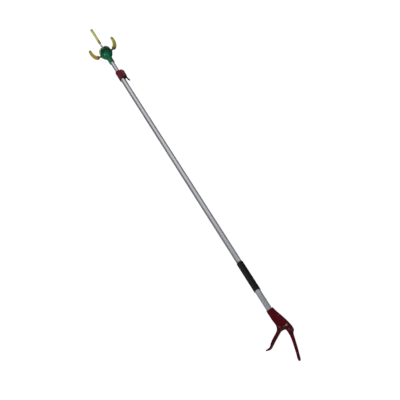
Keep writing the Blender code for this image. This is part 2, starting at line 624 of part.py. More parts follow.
def finger_arm():
    flat = [(STRIP_HALF_THICK, -STRIP_HALF_WIDTH), (STRIP_HALF_THICK, STRIP_HALF_WIDTH),
            (-STRIP_HALF_THICK, STRIP_HALF_WIDTH), (-STRIP_HALF_THICK, -STRIP_HALF_WIDTH)]
    strip = swept(finger_path(), lambda i: flat)
    eye_half_width = SLOT_HALF_WIDTH - GAP
    eye = stand_plane(prism(arc(0, 0, 3.6, 0, 337.5, 15), -eye_half_width, eye_half_width))
    end_x = FINGER_LEVER * math.sin(FINGER_LEAN)
    end_z = -FINGER_LEVER * math.cos(FINGER_LEAN)
    side = Vector((math.cos(FINGER_LEAN), math.sin(FINGER_LEAN))) * 1.6
    lever_outline = [(-side.x, -side.y), (end_x - side.x, end_z - side.y),
                     (end_x + side.x, end_z + side.y), (side.x, side.y)]
    lever = stand_plane(prism(lever_outline, -2.5, 2.5))
    knob = stand_plane(prism(arc(end_x, end_z, 2.4, 0, 330, 11), -2.5, 2.5))
    arm = join(strip, eye, lever, knob)
    return cut(arm, along(bar(-20, 20, PIN_HOLE_R), (0, 1, 0)))


def finger_sleeve():
    """A soft oval tube, deepest at its base, with a rounded end, bored for the strip."""
    path = finger_path()[SLEEVE_FROM:]
    last = Vector(path[-1])
    heading = (last - Vector(path[-2])).normalized()
    sizes = []
    for i in range(len(path)):
        t = i / (len(path) - 1)
        sizes.append((SLEEVE_BASE_HALF_DEPTH + (SLEEVE_TIP_HALF_DEPTH - SLEEVE_BASE_HALF_DEPTH) * t ** 1.5,
                      SLEEVE_HALF_WIDTH))
    for step in range(1, 5):
        angle = math.radians(20 * step)
        path.append(tuple(last + heading * SLEEVE_TIP_HALF_DEPTH * math.sin(angle)))
        sizes.append((SLEEVE_TIP_HALF_DEPTH * math.cos(angle), SLEEVE_HALF_WIDTH * math.cos(angle)))
    sides = 16

    def oval(i):
        deep, wide = sizes[i]
        return [(deep * math.cos(math.tau * k / sides), wide * math.sin(math.tau * k / sides))
                for k in range(sides)]

    half_thick = STRIP_HALF_THICK + GAP
    half_width = STRIP_HALF_WIDTH + GAP
    bore = [(half_thick, -half_width), (half_thick, half_width), (-half_thick, half_width),
            (-half_thick, -half_width)]
    start = Vector(finger_path()[SLEEVE_FROM])
    before = Vector(finger_path()[SLEEVE_FROM - 1])
    tail = Vector(finger_path()[-1]) + heading * GAP
    bore_path = [tuple(start - (start - before) * 2)] + finger_path()[SLEEVE_FROM:-1] + [tuple(tail)]
    return cut(swept(path, oval), swept(bore_path, lambda i: bore))


def build_fingers(telescope, steel, olive):
    arm_mesh = None
    for name, azimuth in FINGER_AZIMUTHS.items():
        turn = math.radians(azimuth)
        up_y = -math.sin(turn) * FINGER_PIVOT_R
        up_z = math.cos(turn) * FINGER_PIVOT_R
        joint = add_joint("finger_joint_" + name, telescope, FINGER_PIVOT_X, up_y, up_z, turn)
        if arm_mesh is None:
            arm = add_piece("finger_arm_" + name, finger_arm(), steel, joint)
            sleeve = add_piece("finger_sleeve_" + name, finger_sleeve(), olive, joint)
            arm_mesh, sleeve_mesh = arm.data, sleeve.data
        else:
            for kind, mesh in (("finger_arm_", arm_mesh), ("finger_sleeve_", sleeve_mesh)):
                piece = bpy.data.objects.new(kind + name, mesh)
                bpy.context.scene.collection.objects.link(piece)
                piece.parent = joint
        pin = add_piece("finger_pin_" + name, along(bar(-8.6, 8.6, PIN_R), (0, 1, 0)), steel, telescope)
        pin.location = joint.location
        pin.rotation_euler = joint.rotation_euler


# ---------------------------------------------------------------- assembly

def settle(pole):
    """Tilts the pole frame to its lying pose and puts the lowest middle point at the world origin."""
    pole.rotation_euler = (0, -LYING_TILT, 0)
    bpy.context.view_layer.update()
    corners = []
    for piece in bpy.data.objects:
        if piece.type == "MESH":
            corners += [piece.matrix_world @ v.co for v in piece.data.vertices]
    low = [min(c[i] for c in corners) for i in range(3)]
    high = [max(c[i] for c in corners) for i in range(3)]
    pole.location = (-(low[0] + high[0]) / 2, -(low[1] + high[1]) / 2, -low[2])
    bpy.context.view_layer.update()


def main():
    clear_scene()
    maroon = make_material("maroon_plastic", (0.16, 0.004, 0.012), 0.25)
    red = make_material("red_plastic", (0.22, 0.008, 0.02), 0.32)
    black = make_material("black_plastic", (0.015, 0.015, 0.016), 0.45)
    green = make_material("green_plastic", (0.005, 0.14, 0.06), 0.28)
    olive = make_material("olive_soft_plastic", (0.42, 0.38, 0.06), 0.35)
    foam = make_material("black_foam", (0.012, 0.012, 0.013), 0.95)
    plastic = make_material("natural_nylon", (0.75, 0.73, 0.68), 0.5)
    aluminium = make_material("aluminium_tube", (0.72, 0.73, 0.75), 0.32, 1.0)
    steel = make_material("steel", (0.55, 0.55, 0.56), 0.3, 1.0)
    tan_metal = make_material("plated_bolt", (0.62, 0.42, 0.32), 0.35, 1.0)

    pole = add_joint("pole_frame", None, 0)
    build_handle(pole, maroon, steel, tan_metal)
    build_trigger(pole, maroon, steel)
    build_pull_tube(pole, aluminium, steel, plastic)
    build_outer_pole(pole, aluminium, steel, plastic, foam)
    build_clamp(pole, red, black, steel)
    telescope = build_inner_pole(pole, aluminium, steel, plastic, green, olive)
    build_plunger(telescope, steel, plastic)
    build_fingers(telescope, steel, olive)
    settle(pole)


main()
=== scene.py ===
"""Looks for the telescopic reacher grabber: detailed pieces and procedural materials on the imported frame.

Shapes are drawn in the pole frame, in millimetres: its origin is on the pole's axis, level with the
trigger pivot, +X runs along the pole to the claw, +Y to the trigger and +Z up.
"""

import json
import math

import bmesh
import bpy
from mathutils import Matrix, Vector


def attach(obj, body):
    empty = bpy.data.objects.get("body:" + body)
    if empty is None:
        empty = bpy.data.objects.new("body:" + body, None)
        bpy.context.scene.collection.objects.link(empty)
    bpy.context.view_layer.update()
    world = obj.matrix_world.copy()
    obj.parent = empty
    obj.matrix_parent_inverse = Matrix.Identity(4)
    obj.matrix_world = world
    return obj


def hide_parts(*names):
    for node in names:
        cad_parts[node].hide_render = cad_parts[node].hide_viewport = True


MM = 0.001
GAP = 0.3
FINE = 72                   # sides of tubes and turned pieces
SMALL = 32                  # sides of screws, pins and rods
THROUGH = 20                # half the length of a bar that cuts a hole right through
PIN_HOLE_R = 1.8
PIVOT_HOLE_R = 2.8

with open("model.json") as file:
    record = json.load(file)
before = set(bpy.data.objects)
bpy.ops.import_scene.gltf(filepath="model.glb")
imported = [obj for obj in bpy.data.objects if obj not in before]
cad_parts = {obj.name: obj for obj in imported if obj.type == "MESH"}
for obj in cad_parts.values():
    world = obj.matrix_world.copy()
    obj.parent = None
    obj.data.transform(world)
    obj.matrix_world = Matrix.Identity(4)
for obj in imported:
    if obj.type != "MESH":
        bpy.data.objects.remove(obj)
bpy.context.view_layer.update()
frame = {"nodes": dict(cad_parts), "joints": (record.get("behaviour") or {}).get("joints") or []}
NODES = frame["nodes"]
JOINTS = {joint["name"]: joint for joint in frame["joints"]}

PIVOT_X, PIVOT_Y = -9.0, -21.0
X_AXIS = Vector(JOINTS["telescope_slide"]["axis"]).normalized()
Z_AXIS = Vector(JOINTS["trigger_hinge"]["axis"]).normalized()
Y_AXIS = Z_AXIS.cross(X_AXIS)
ORIGIN = Vector(JOINTS["trigger_hinge"]["pos_m"]) - (X_AXIS * PIVOT_X + Y_AXIS * PIVOT_Y) * MM
POLE = Matrix((
    (X_AXIS.x, Y_AXIS.x, Z_AXIS.x, ORIGIN.x), (X_AXIS.y, Y_AXIS.y, Z_AXIS.y, ORIGIN.y),
    (X_AXIS.z, Y_AXIS.z, Z_AXIS.z, ORIGIN.z), (0, 0, 0, 1)))
MM_TO_WORLD = POLE @ Matrix.Scale(MM, 4)


# ---------------------------------------------------------------- camera, floor and light

def place_camera():
    look_down = math.radians(37.2)
    roll = math.radians(32.515)
    forward = Vector((math.sin(look_down), 0, -math.cos(look_down)))
    up = Vector((math.cos(look_down), 0, math.sin(look_down)))
    left = Vector((0, 1, 0))
    right = -math.sin(roll) * up - math.cos(roll) * left
    down = -math.cos(roll) * up + math.sin(roll) * left
    spot = Vector((-1447.6, -1.1, 2701.5)) * MM
    data = bpy.data.cameras.new("camera")
    data.lens = 85.5
    data.sensor_width = 36
    data.clip_end = 50
    camera = bpy.data.objects.new("camera", data)
    bpy.context.scene.collection.objects.link(camera)
    view = Matrix(((right.x, -down.x, -forward.x, spot.x), (right.y, -down.y, -forward.y, spot.y),
                   (right.z, -down.z, -forward.z, spot.z), (0, 0, 0, 1)))
    camera.matrix_world = POLE @ view
    bpy.context.scene.camera = camera


def add_area(name, spot, target, size_x, size_y, power, colour=(1, 1, 1)):
    data = bpy.data.lights.new(name, "AREA")
    data.shape = "RECTANGLE"
    data.size = size_x
    data.size_y = size_y
    data.energy = power
    data.color = colour
    light = bpy.data.objects.new(name, data)
    bpy.context.scene.collection.objects.link(light)
    light.location = spot
    light.rotation_euler = (Vector(target) - Vector(spot)).to_track_quat("-Z", "Y").to_euler()


def lit_and_seen(tree, lighting, seen):
    """One shader for what lights the object and another for what the camera sees directly."""
    mix = tree.nodes.new("ShaderNodeMixShader")
    path = tree.nodes.new("ShaderNodeLightPath")
    tree.links.new(path.outputs["Is Camera Ray"], mix.inputs[0])
    tree.links.new(lighting.outputs[0], mix.inputs[1])
    tree.links.new(seen.outputs[0], mix.inputs[2])
    return mix


def studio():
    bpy.context.scene.view_settings.view_transform = "Standard"
    world = bpy.data.worlds.new("studio")
    world.use_nodes = True
    tree = world.node_tree
    tree.nodes.clear()
    dim = tree.nodes.new("ShaderNodeBackground")
    dim.inputs["Color"].default_value = (0.93, 0.96, 1.0, 1)
    dim.inputs["Strength"].default_value = 0.16
    white = tree.nodes.new("ShaderNodeBackground")
    white.inputs["Color"].default_value = (1, 1, 1, 1)
    out = tree.nodes.new("ShaderNodeOutputWorld")
    tree.links.new(lit_and_seen(tree, dim, white).outputs[0], out.inputs[0])
    bpy.context.scene.world = world
    add_area("ceiling", (2.9, -0.95, 2.4), (2.9, -0.95, 0), 3.6, 5.2, 47)
    add_area("key", (-1.3, 2.2, 2.4), (0, 0, 0), 1.7, 1.3, 130)
    add_area("fill", (-2.6, -0.6, 2.2), (0, 0, 0), 1.6, 1.2, 22)

    mesh = bpy.data.meshes.new("floor")
    mesh.from_pydata([(-12, -12, 0), (12, -12, 0), (12, 12, 0), (-12, 12, 0)], [], [(0, 1, 2, 3)])
    floor = bpy.data.objects.new("floor", mesh)
    floor.location.z = -0.0005
    bpy.context.scene.collection.objects.link(floor)
    material = bpy.data.materials.new("pale_floor")
    material.use_nodes = True
    tree = material.node_tree
    tree.nodes.clear()
    dull = tree.nodes.new("ShaderNodeBsdfDiffuse")
    dull.inputs["Color"].default_value = (0.34, 0.34, 0.35, 1)
    pale = tree.nodes.new("ShaderNodeBsdfDiffuse")
    pale.inputs["Color"].default_value = (0.12, 0.12, 0.12, 1)
    glow = tree.nodes.new("ShaderNodeEmission")
    glow.inputs["Strength"].default_value = 0.97
    bright = tree.nodes.new("ShaderNodeAddShader")
    out = tree.nodes.new("ShaderNodeOutputMaterial")
    tree.links.new(pale.outputs[0], bright.inputs[0])
    tree.links.new(glow.outputs[0], bright.inputs[1])
    tree.links.new(lit_and_seen(tree, dull, bright).outputs[0], out.inputs[0])
    mesh.materials.append(material)


# ---------------------------------------------------------------- materials

class Shader:
    """A Principled material with short calls for the procedural nodes that drive it."""

    def __init__(self, name, roughness, metallic=0.0, **constants):
        self.material = bpy.data.materials.new(name)
        self.material.use_nodes = True
        self.tree = self.material.node_tree
        self.surface = self.tree.nodes["Principled BSDF"]
        self.surface.inputs["Metallic"].default_value = metallic
        self.surface.inputs["Roughness"].default_value = roughness
        for socket, value in constants.items():
            self.surface.inputs[socket.replace("_", " ")].default_value = value
        self.place = self.add("ShaderNodeMapping")
        inverse = MM_TO_WORLD.inverted()
        self.place.inputs["Location"].default_value = inverse.to_translation()
        self.place.inputs["Rotation"].default_value = inverse.to_euler()
        self.place.inputs["Scale"].default_value = (1 / MM,) * 3
        self.link(self.add("ShaderNodeTexCoord").outputs["Object"], self.place.inputs["Vector"])

    def add(self, kind):
        return self.tree.nodes.new(kind)

    def link(self, source, target):
        self.tree.links.new(source, target)

    def stretched(self, x, y, z):
        """The pole frame in millimetres, scaled along each axis."""
        scale = self.add("ShaderNodeMapping")
        scale.inputs["Scale"].default_value = (x, y, z)
        self.link(self.place.outputs[0], scale.inputs["Vector"])
        return scale.outputs[0]

    def noise(self, size, detail=3.0, rough=0.5, stretch=(1, 1, 1)):
        """Noise whose blotches are about size millimetres across."""
        node = self.add("ShaderNodeTexNoise")
        node.inputs["Scale"].default_value = 1.0
        node.inputs["Detail"].default_value = detail
        node.inputs["Roughness"].default_value = rough
        self.link(self.stretched(*[s / size for s in stretch]), node.inputs["Vector"])
        return node.outputs["Fac"]

    def cells(self, size):
        node = self.add("ShaderNodeTexVoronoi")
        node.inputs["Scale"].default_value = 1.0
        self.link(self.stretched(1 / size, 1 / size, 1 / size), node.inputs["Vector"])
        return node.outputs["Distance"]

    def axis(self, index):
        split = self.add("ShaderNodeSeparateXYZ")
        self.link(self.place.outputs[0], split.inputs[0])
        return split.outputs[index]

    def spread(self, source, low, high, to_low=0.0, to_high=1.0):
        node = self.add("ShaderNodeMapRange")
        for socket, value in zip(("From Min", "From Max", "To Min", "To Max"), (low, high, to_low, to_high)):
            node.inputs[socket].default_value = value
        self.link(source, node.inputs["Value"])
        return node.outputs["Result"]

    def mixed(self, factor, first, second, mode="MIX"):
        """A colour between two; each is a colour or another node's output."""
        node = self.add("ShaderNodeMix")
        node.data_type = "RGBA"
        node.blend_type = mode
        self.link(factor, node.inputs[0])
        for socket, value in ((node.inputs[6], first), (node.inputs[7], second)):
            if isinstance(value, tuple):
                socket.default_value = (*value, 1)
            else:
                self.link(value, socket)
        return node.outputs[2]

    def sum(self, *terms):
        total = terms[0]
        for term in terms[1:]:
            node = self.add("ShaderNodeMath")
            node.operation = "ADD"
            self.link(total, node.inputs[0])
            self.link(term, node.inputs[1])
            total = node.outputs[0]
        return total

    def times(self, first, second):
        node = self.add("ShaderNodeMath")
        node.operation = "MULTIPLY"
        self.link(first, node.inputs[0])
        if isinstance(second, float):
            node.inputs[1].default_value = second
        else:
            self.link(second, node.inputs[1])
        return node.outputs[0]

    def colour(self, source):
        self.link(source, self.surface.inputs["Base Color"])

    def rough(self, source):
        self.link(source, self.surface.inputs["Roughness"])

    def bump(self, height, depth_mm, strength=1.0):
        node = self.add("ShaderNodeBump")
        node.inputs["Strength"].default_value = strength
        node.inputs["Distance"].default_value = depth_mm * MM
        self.link(height, node.inputs["Height"])
        self.link(node.outputs[0], self.surface.inputs["Normal"])


def moulded(name, dark, light, low_rough, high_rough, grain=0.9, depth=0.05, **constants):
    """Moulded plastic: slow colour drift, handling marks in the gloss and a fine spark-eroded grain."""
    shader = Shader(name, low_rough, **{"Specular_IOR_Level": 0.14, **constants})
    drift = shader.spread(shader.noise(26, 4, 0.6), 0.34, 0.68)
    specks = shader.spread(shader.noise(0.8, 2, 0.5), 0.60, 0.78, 0.0, 0.22)
    shader.colour(shader.mixed(specks, shader.mixed(drift, dark, light), tuple(1.5 * c for c in light)))
    smears = shader.spread(shader.noise(9, 5, 0.65, (0.5, 1.2, 1)), 0.35, 0.7, low_rough, high_rough)
    shader.rough(smears)
    shader.bump(shader.sum(shader.noise(grain, 2, 0.6), shader.noise(7, 2, 0.5)), depth)
    return shader


def hub_green():
    """Green moulding, with painted shade: darker patches painted in towards the front of the claw's base,
    where little light reaches.
    """
    shader = Shader("green_plastic", 0.28, Specular_IOR_Level=0.15, Subsurface_Weight=0.08,
                    Subsurface_Scale=0.003)
    drift = shader.spread(shader.noise(17, 4, 0.6), 0.34, 0.68)
    light = shader.mixed(drift, (0.0022, 0.080, 0.033), (0.0048, 0.140, 0.062))
    # painted shade: the thick front of the claw's base is darkened in ragged patches
    ragged = shader.times(shader.noise(12, 3, 0.6), 14.0)
    front = shader.spread(shader.sum(shader.axis(0), ragged), 1494, 1513)
    painted_shade_patches = shader.spread(shader.noise(9, 3, 0.5), 0.34, 0.56, 0.6, 1.0)
    shader.colour(shader.mixed(shader.times(front, painted_shade_patches), light, (0.0005, 0.022, 0.0075)))
    shader.rough(shader.spread(shader.noise(9, 5, 0.65), 0.35, 0.7, 0.18, 0.36))
    shader.bump(shader.sum(shader.noise(0.9, 2, 0.6), shader.noise(7, 2, 0.5)), 0.04)
    return shader


def make_materials():
    made = {}
    made["maroon"] = moulded("maroon_plastic", (0.034, 0.0004, 0.0026), (0.058, 0.0007, 0.0048),
                             0.22, 0.40, 0.9, 0.03)
    made["red"] = moulded("red_plastic", (0.086, 0.0045, 0.010), (0.132, 0.0082, 0.020), 0.26, 0.45)
    made["black"] = moulded("black_plastic", (0.006, 0.006, 0.0065), (0.012, 0.012, 0.0125), 0.38, 0.6)
    made["green"] = hub_green()

    metal = Shader("aluminium_tube", 0.34, 1.0)
    lines = metal.noise(0.35, 4, 0.65, (0.004, 1, 1))
    stain = metal.spread(metal.noise(34, 4, 0.6, (0.35, 1, 1)), 0.35, 0.7)
    base = metal.mixed(stain, (0.60, 0.61, 0.64), (0.70, 0.71, 0.735))
    metal.colour(metal.mixed(metal.spread(lines, 0.40, 0.72), base, (0.50, 0.51, 0.535)))
    metal.rough(metal.sum(metal.spread(lines, 0.3, 0.7, 0.22, 0.40), metal.times(stain, 0.05)))
    metal.bump(lines, 0.02, 0.6)
    made["aluminium"] = metal

    steel = Shader("steel", 0.3, 1.0)
    scratch = steel.noise(0.5, 4, 0.6, (0.12, 1, 1))
    steel.colour(steel.mixed(steel.spread(scratch, 0.35, 0.7), (0.44, 0.46, 0.46), (0.62, 0.64, 0.64)))
    steel.rough(steel.spread(steel.noise(3, 4, 0.6), 0.3, 0.7, 0.24, 0.46))
    steel.bump(scratch, 0.02, 0.5)
    made["steel"] = steel

    dull = Shader("dark_steel", 0.4, 1.0)
    pits = dull.noise(1.1, 4, 0.6)
    dull.colour(dull.mixed(dull.spread(pits, 0.35, 0.7), (0.055, 0.032, 0.032), (0.11, 0.070, 0.066)))
    dull.rough(dull.spread(pits, 0.3, 0.7, 0.34, 0.6))
    dull.bump(pits, 0.03, 0.6)
    made["dark_steel"] = dull

    bolt = Shader("plated_bolt", 0.35, 1.0)
    tarnish = bolt.noise(1.6, 4, 0.6)
    bolt.colour(bolt.mixed(bolt.spread(tarnish, 0.35, 0.7), (0.15, 0.070, 0.060), (0.25, 0.140, 0.120)))
    bolt.rough(bolt.spread(tarnish, 0.3, 0.7, 0.3, 0.55))
    bolt.bump(tarnish, 0.03, 0.5)
    made["bolt"] = bolt

    strip = Shader("sprung_strip", 0.36, 1.0)
    grind = strip.noise(0.6, 4, 0.6, (0.12, 1, 1))
    strip.colour(strip.mixed(strip.spread(grind, 0.35, 0.7), (0.26, 0.28, 0.28), (0.38, 0.40, 0.40)))
    strip.rough(strip.spread(strip.noise(3, 4, 0.6), 0.3, 0.7, 0.3, 0.5))
    strip.bump(grind, 0.02, 0.5)
    made["strip"] = strip

    nylon = moulded("natural_nylon", (0.60, 0.58, 0.52), (0.70, 0.68, 0.63), 0.4, 0.55)
    made["nylon"] = nylon

    foam = Shader("black_foam", 0.92, Specular_IOR_Level=0.2)
    pores = foam.cells(1.0)
    # painted shade: each foam pore is darkened towards its deepest point, where the bump sinks it
    painted_pore_shade = foam.spread(pores, 0.05, 0.55)
    patch = foam.spread(foam.noise(14, 3, 0.6), 0.35, 0.7)
    foam.colour(foam.mixed(painted_pore_shade, (0.0016, 0.0018, 0.0018), foam.mixed(patch, (0.0046, 0.0050, 0.0052),
                                                                      (0.0080, 0.0084, 0.0088))))
    foam.rough(foam.spread(patch, 0, 1, 0.86, 0.97))
    foam.bump(foam.sum(pores, foam.times(foam.noise(0.5, 3, 0.6), 0.6)), 0.28, 0.9)
    made["foam"] = foam

    made["olive"] = soft_vinyl("olive_soft_plastic", 0.0)
    made["pad"] = soft_vinyl("pad_soft_plastic", 1.0)
    return made


def soft_vinyl(name, pad):
    """Translucent soft vinyl, tinted by place as painted light and shade: amber on the +Y side, olive on the
    other, paler on top as a painted highlight; the pad is painted lighter on +Y.
    """
    shader = Shader(name, 0.3, Subsurface_Weight=0.3, Subsurface_Scale=0.003,
                    Specular_IOR_Level=0.35)
    shader.surface.inputs["Subsurface Radius"].default_value = (1.0, 0.85, 0.25)
    # painted light and shade: the tint changes across Y, from one side of the claw to the other
    across = shader.spread(shader.axis(1), -22, 26)
    if pad:
        hue = shader.mixed(across, (0.20, 0.34, 0.11), (0.33, 0.44, 0.16))
    else:
        amber = shader.mixed(shader.spread(shader.axis(0), 1548, 1586), (0.42, 0.22, 0.014),
                             (0.34, 0.27, 0.030))
        hue = shader.mixed(across, (0.47, 0.47, 0.034), amber)
        # painted highlight: the sleeves turn paler towards the top
        hue = shader.mixed(shader.spread(shader.axis(2), 20, 40), hue, (0.52, 0.53, 0.17))
        tip = shader.spread(shader.axis(0), 1584, 1611)
        hue = shader.mixed(shader.times(tip, 0.62), hue, (0.13, 0.12, 0.035))
        root = shader.spread(shader.axis(0), 1545, 1535)
        hue = shader.mixed(shader.times(root, 0.70), hue, (0.16, 0.09, 0.015))
    cloud = shader.spread(shader.noise(7, 4, 0.6), 0.35, 0.72, 0.0, 0.35)
    hue = shader.mixed(cloud, hue, (0.26, 0.24, 0.025))
    shader.colour(hue)
    shader.rough(shader.spread(shader.noise(4, 4, 0.6), 0.3, 0.7, 0.2, 0.42))
    ripples = shader.sum(shader.noise(2.4, 3, 0.5), shader.times(shader.noise(0.5, 2, 0.5), 0.3))
    shader.bump(ripples, 0.12, 0.7)
    return shader


# ---------------------------------------------------------------- mesh helpers

def arc(centre_x, centre_y, radius, start_deg, end_deg, steps):
    points = []
    for i in range(steps + 1):
        angle = math.radians(start_deg + (end_deg - start_deg) * i / steps)
        points.append((centre_x + radius * math.cos(angle), centre_y + radius * math.sin(angle)))
    return points


def smooth_line(points, steps):
    """A Catmull-Rom curve through the points, with the given steps in each span."""
    ends = [points[0]] + list(points) + [points[-1]]
    line = []
    for i in range(1, len(ends) - 2):
        p0, p1, p2, p3 = [Vector(ends[i + k]) for k in (-1, 0, 1, 2)]
        for step in range(steps):
            t = step / steps
            line.append(tuple(0.5 * (2 * p1 + (p2 - p0) * t + (2 * p0 - 5 * p1 + 4 * p2 - p3) * t ** 2
                                     + (3 * p1 - p0 - 3 * p2 + p3) * t ** 3)))
    return line + [tuple(points[-1])]


def outline(*spans):
    """Joins curves into one outline. A span meets the next at a corner, or shares its end point."""
    joined = []
    for span in spans:
        for point in smooth_line(span, 4) if len(span) > 2 else span:
            if not joined or (Vector(point) - Vector(joined[-1])).length > 0.05:
                joined.append(tuple(point))
    if (Vector(joined[0]) - Vector(joined[-1])).length < 0.05:
        joined.pop()
    return joined


def inset(shape, distance):
    """An anticlockwise outline moved inwards; points that would cross gather in the corner between them."""
    points = [Vector(p) for p in shape]
    count = len(points)
    edges = [(points[i], points[(i + 1) % count] - points[i]) for i in range(count)]
    moved, sound = [], []
    for i in range(count):
        before, after = edges[i - 1][1].normalized(), edges[i][1].normalized()
        first, second = Vector((-before.y, before.x)), Vector((-after.y, after.x))
        place = points[i] + (first + second) * (distance / max(1 + first.dot(second), 0.35))
        nearest = 1e9
        for start, run in edges:
            t = min(max((place - start).dot(run) / run.length_squared, 0), 1)
            nearest = min(nearest, (place - start - run * t).length)
        moved.append(place)
        sound.append(nearest > distance * 0.98 - 1e-4)
    result = []
    for i in range(count):
        place = moved[i]
        if not sound[i] and any(sound):
            back = next(k for k in range(1, count + 1) if sound[i - k])
            ahead = next(k for k in range(1, count + 1) if sound[(i + k) % count])
            place = (moved[i - back] + moved[(i + ahead) % count]) / 2
        result.append(tuple(place))
    return result


def prism(shape, low, high, round_high=0.0, round_low=0.0, steps=4):
    """An XY outline, listed anticlockwise, drawn up from Z low to Z high, with quarter-round rims."""
    levels = []
    for k in range(steps, -1, -1) if round_low else ():
        angle = math.pi / 2 * k / steps
        levels.append((low + round_low * (1 - math.sin(angle)), round_low * (1 - math.cos(angle))))
    levels = levels or [(low, 0.0)]
    for k in range(steps + 1) if round_high else ():
        angle = math.pi / 2 * k / steps
        levels.append((high - round_high * (1 - math.sin(angle)), round_high * (1 - math.cos(angle))))
    if not round_high:
        levels.append((high, 0.0))
    bm = bmesh.new()
    rings = []
    for z, depth in levels:
        contour = inset(shape, depth) if depth > 1e-6 else shape
        rings.append([bm.verts.new((x, y, z)) for x, y in contour])
    close_rings(bm, rings)
    bmesh.ops.remove_doubles(bm, verts=bm.verts[:], dist=1e-3)
    bmesh.ops.dissolve_degenerate(bm, edges=bm.edges[:], dist=1e-3)
    bmesh.ops.recalc_face_normals(bm, faces=bm.faces[:])
    return bm


def close_rings(bm, rings):
    """Joins equal rings of vertices into a closed tube with flat ends."""
    for a, b in zip(rings, rings[1:]):
        for k in range(len(a)):
            bm.faces.new((a[k], a[k - 1], b[k - 1], b[k]))
    bm.faces.new(rings[0])
    bm.faces.new(rings[-1])
    bmesh.ops.recalc_face_normals(bm, faces=bm.faces[:])


def turned(profile, sides=FINE):
    """A body turned about the X axis from a closed profile of (x, r) points."""
    bm = bmesh.new()
    verts = [bm.verts.new((x, 0, r)) for x, r in profile]
    edges = [bm.edges.new((a, b)) for a, b in zip(verts, verts[1:] + verts[:1])]
    bmesh.ops.spin(bm, geom=verts + edges, axis=(1, 0, 0), cent=(0, 0, 0), steps=sides,
                   angle=math.tau, use_merge=True)
    bmesh.ops.remove_doubles(bm, verts=bm.verts[:], dist=1e-4)
    bmesh.ops.delete(bm, geom=[e for e in bm.edges if not e.link_faces], context="EDGES")
    bmesh.ops.recalc_face_normals(bm, faces=bm.faces[:])
    return bm


def bar(start, end, radius, sides=SMALL):
    return turned([(start, 0), (end, 0), (end, radius), (start, radius)], sides)


def tube(start, end, bore, radius, edge=0.25):
    """A round tube with its outer rims eased."""
    profile = [(start, bore), (end, bore), (end, radius - edge), (end - edge, radius),
               (start + edge, radius), (start, radius - edge)]
    return turned(profile)


def block(x0, x1, y0, y1, z0, z1, bevel=0.0):
    return prism([(x0, y0), (x1, y0), (x1, y1), (x0, y1)], z0, z1, bevel, bevel)


def along(bm, direction, origin=(0, 0, 0)):
    """Turns a body drawn about +X to lie about another direction, from the given origin."""
    turn = Vector((1, 0, 0)).rotation_difference(Vector(direction)).to_matrix().to_4x4()
    bm.transform(Matrix.Translation(Vector(origin)) @ turn)
    return bm


def upright(bm, x, y):
    return along(bm, (0, 0, 1), (x, y, 0))


def about_x(bm, angle):
    bm.transform(Matrix.Rotation(angle, 4, "X"))
    return bm


def stand_plane(bm):
    """Turns a body drawn in XY so that its Y becomes Z: the plane of the top finger."""
    return about_x(bm, math.pi / 2)


def face_plane(bm):
    """Turns a body drawn in XY so that its X becomes Y and its Y becomes Z."""
    bm.transform(Matrix.Rotation(math.tau / 3, 4, Vector((1, 1, 1))))
    return bm


def combine(base, tool, operation):
    """Boolean of two meshes with the EXACT solver. Both are used up; the result is returned."""
    holders = []
    for bm in (base, tool):
        mesh = bpy.data.meshes.new("boolean_input")
        bm.to_mesh(mesh)
        bm.free()
        holder = bpy.data.objects.new("boolean_input", mesh)
        bpy.context.scene.collection.objects.link(holder)
        holders.append(holder)
    modifier = holders[0].modifiers.new("combine", "BOOLEAN")
    modifier.operation = operation
    modifier.solver = "EXACT"
    modifier.object = holders[1]
    shaped = holders[0].evaluated_get(bpy.context.evaluated_depsgraph_get())
    result = bmesh.new()
    result.from_mesh(shaped.to_mesh())
    shaped.to_mesh_clear()
    for holder in holders:
        mesh = holder.data
        bpy.data.objects.remove(holder)
        bpy.data.meshes.remove(mesh)
    bmesh.ops.remove_doubles(result, verts=result.verts[:], dist=1e-4)
    bmesh.ops.dissolve_degenerate(result, edges=result.edges[:], dist=1e-4)
    return result


def cut(base, *tools):
    for tool in tools:
        base = combine(base, tool, "DIFFERENCE")
    return base


def join(base, *tools):
    for tool in tools:
        base = combine(base, tool, "UNION")
    return base


def swept(path, section):
    """Sweeps a section along a path in the XZ plane. section(i) gives points (across, sideways)."""
    bm = bmesh.new()
    rings = []
    for i, (x, z) in enumerate(path):
        before = Vector(path[max(i - 1, 0)])
        after = Vector(path[min(i + 1, len(path) - 1)])
        heading = (after - before).normalized()
        across = Vector((-heading.y, 0, heading.x))
        place = Vector((x, 0, z))
        rings.append([bm.verts.new(place + across * u + Vector((0, v, 0))) for u, v in section(i)])
    close_rings(bm, rings)
    return bm


def add_piece(name, bm, body, finish, stands_for=(), smooth_deg=32.0):
    """Makes a piece of a mesh drawn in the pole frame, which rides a body and replaces CAD nodes."""
    bm.transform(MM_TO_WORLD)
    mesh = bpy.data.meshes.new(name)
    bm.to_mesh(mesh)
    bm.free()
    mesh.shade_smooth()
    mesh.set_sharp_from_angle(angle=math.radians(smooth_deg))
    mesh.materials.append(FINISHES[finish].material)
    piece = bpy.data.objects.new(name, mesh)
    bpy.context.scene.collection.objects.link(piece)
    flatten = piece.modifiers.new("even_shading", "WEIGHTED_NORMAL")
    flatten.keep_sharp = True
    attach(piece, body)
    if stands_for:
        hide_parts(*stands_for)
    return piece


# ---------------------------------------------------------------- handle

HANDLE_HALF_DEPTH = 13.0
GRIP_HALF_DEPTH = 7.5
SHELL_WALL = 2.5
OUTER_TUBE_R = 10.0
OUTER_TUBE_START = 42.0

